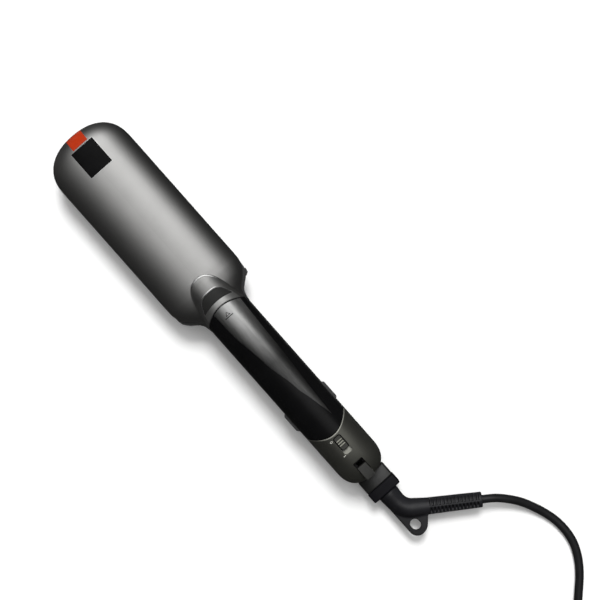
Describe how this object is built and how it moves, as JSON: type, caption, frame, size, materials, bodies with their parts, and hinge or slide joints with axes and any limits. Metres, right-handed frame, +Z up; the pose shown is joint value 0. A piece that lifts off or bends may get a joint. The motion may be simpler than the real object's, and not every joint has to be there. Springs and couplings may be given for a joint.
{
  "type": "steam hair straightener",
  "caption": "Steam hair straightener: hinged arms with wide floating plates, lift-out water tank in the handle, slide switch, closing lock and swivelling mains cord, lying closed.",
  "frame": {"origin": "bottom centre of the appliance without its cord: on the table, midway along and across it", "axes": "+X runs along the appliance from the plate head to the cord, +Y across it, +Z up from the table"},
  "size_m": [0.5423, 0.1522, 0.0465],
  "materials": {
    "head_paint": "satin gunmetal paint on moulded plastic",
    "handle_black": "gloss black moulding",
    "soft_black": "fine textured black moulding",
    "tail_grey": "matt olive grey paint on moulded plastic",
    "ring_silver": "satin silver",
    "tank_black": "gloss smoked moulding",
    "inlay_grey": "satin metallic film",
    "plate_coat": "satin ceramic coat on aluminium",
    "ceramic": "matt ceramic",
    "cast_aluminium": "as cast",
    "circuit_board": "solder resist",
    "insulation_red": "soft satin",
    "steel": "plain steel",
    "nickel": "nickel plate",
    "soft_rubber": "soft matt rubber",
    "cord_rubber": "satin sheath",
    "accent_orange": "enamel",
    "badge_black": "gloss",
    "control_grey": "fine textured",
    "slot_grey": "matt",
    "smoked_window": "gloss smoked lens",
    "tube_clear": "translucent silicone"
  },
  "bodies": {
    "lower_arm": {"lower_head_shell": "head_paint", "lower_handle_shell": "handle_black", "lower_plate_frame": "soft_black", "lower_inner_cover": "soft_black", "control_board": "circuit_board", "display_window": "smoked_window", "inner_wires": "insulation_red", "cord_block": "soft_black", "cord_collar": "soft_black", "hinge_pin": "steel", "hinge_spring": "steel", "rest_feet": "soft_rubber", "shell_screws": "steel", "lower_float_springs": "steel", "cord_tube": "cord_rubber", "cord_coil": "cord_rubber", "cord_tie": "soft_rubber", "plug_body": "soft_rubber", "plug_pins": "nickel"},
    "upper_arm": {"upper_head_shell": "head_paint", "neck_band": "soft_black", "neck_ring": "ring_silver", "upper_handle_frame": "handle_black", "tail_housing": "tail_grey", "switch_plate": "slot_grey", "switch_board": "circuit_board", "lock_tray": "soft_black", "upper_plate_frame": "soft_black", "water_pump": "control_grey", "water_tube": "tube_clear", "tank_gasket": "insulation_red", "upper_float_springs": "steel", "badge_plate": "badge_black", "badge_frame": "nickel", "tip_accent": "accent_orange"},
    "tank": {"water_tank": "tank_black", "tank_inlay": "inlay_grey", "tank_cap": "insulation_red"},
    "upper_plate_unit": {"upper_plate": "plate_coat", "upper_heater": "ceramic", "steam_chamber": "cast_aluminium"},
    "lower_plate_unit": {"lower_plate": "plate_coat", "lower_heater": "ceramic"},
    "steam_knob": {"steam_switch": "control_grey"},
    "closing_lock": {"lock_slider": "control_grey"},
    "release_left": {"release_button_left": "control_grey"},
    "release_right": {"release_button_right": "control_grey"},
    "power_key": {"power_button": "control_grey"},
    "plus_key": {"plus_button": "control_grey"},
    "minus_key": {"minus_button": "control_grey"},
    "swivel": {"swivel_barrel": "soft_black", "swivel_clip": "steel", "cord_boot": "soft_rubber"}
  },
  "joints": [
    {"name": "arm_hinge", "type": "hinge", "parent": "lower_arm", "child": "upper_arm", "pos_m": [0.14, 0, 0.0225], "axis": [0, 1, 0], "range_deg": [0, 14]},
    {"name": "tank_lift", "type": "slide", "parent": "upper_arm", "child": "tank", "axis": [0, 0, 1], "range_m": [0, 0.04]},
    {"name": "upper_plate_float", "type": "slide", "parent": "upper_arm", "child": "upper_plate_unit", "axis": [0, 0, 1], "range_m": [0, 0.001], "stiffness_N_per_m": 800, "springref_m": -0.003, "deforming": ["upper_float_springs"]},
    {"name": "lower_plate_float", "type": "slide", "parent": "lower_arm", "child": "lower_plate_unit", "axis": [0, 0, -1], "range_m": [0, 0.001], "stiffness_N_per_m": 1500, "springref_m": -0.003, "deforming": ["lower_float_springs"]},
    {"name": "steam_switch_slide", "type": "slide", "parent": "upper_arm", "child": "steam_knob", "axis": [1, 0, 0], "range_m": [0, 0.0035]},
    {"name": "lock_slide", "type": "slide", "parent": "upper_arm", "child": "closing_lock", "axis": [-1, 0, 0], "range_m": [0, 0.004]},
    {"name": "release_left_press", "type": "slide", "parent": "upper_arm", "child": "release_left", "axis": [0, -1, 0], "range_m": [0, 0.0012], "stiffness_N_per_m": 400, "springref_m": -0.001},
    {"name": "release_right_press", "type": "slide", "parent": "upper_arm", "child": "release_right", "axis": [0, 1, 0], "range_m": [0, 0.0012], "stiffness_N_per_m": 400, "springref_m": -0.001},
    {"name": "power_press", "type": "slide", "parent": "lower_arm", "child": "power_key", "axis": [0, 0, -1], "range_m": [0, 0.0008], "stiffness_N_per_m": 300, "springref_m": -0.001},
    {"name": "plus_press", "type": "slide", "parent": "lower_arm", "child": "plus_key", "axis": [0, 0, -1], "range_m": [0, 0.0008], "stiffness_N_per_m": 300, "springref_m": -0.001},
    {"name": "minus_press", "type": "slide", "parent": "lower_arm", "child": "minus_key", "axis": [0, 0, -1], "range_m": [0, 0.0008], "stiffness_N_per_m": 300, "springref_m": -0.001},
    {"name": "cord_swivel", "type": "hinge", "parent": "lower_arm", "child": "swivel", "pos_m": [0.16, 0, 0.013], "axis": [1, 0, 0], "continuous": true}
  ]
}
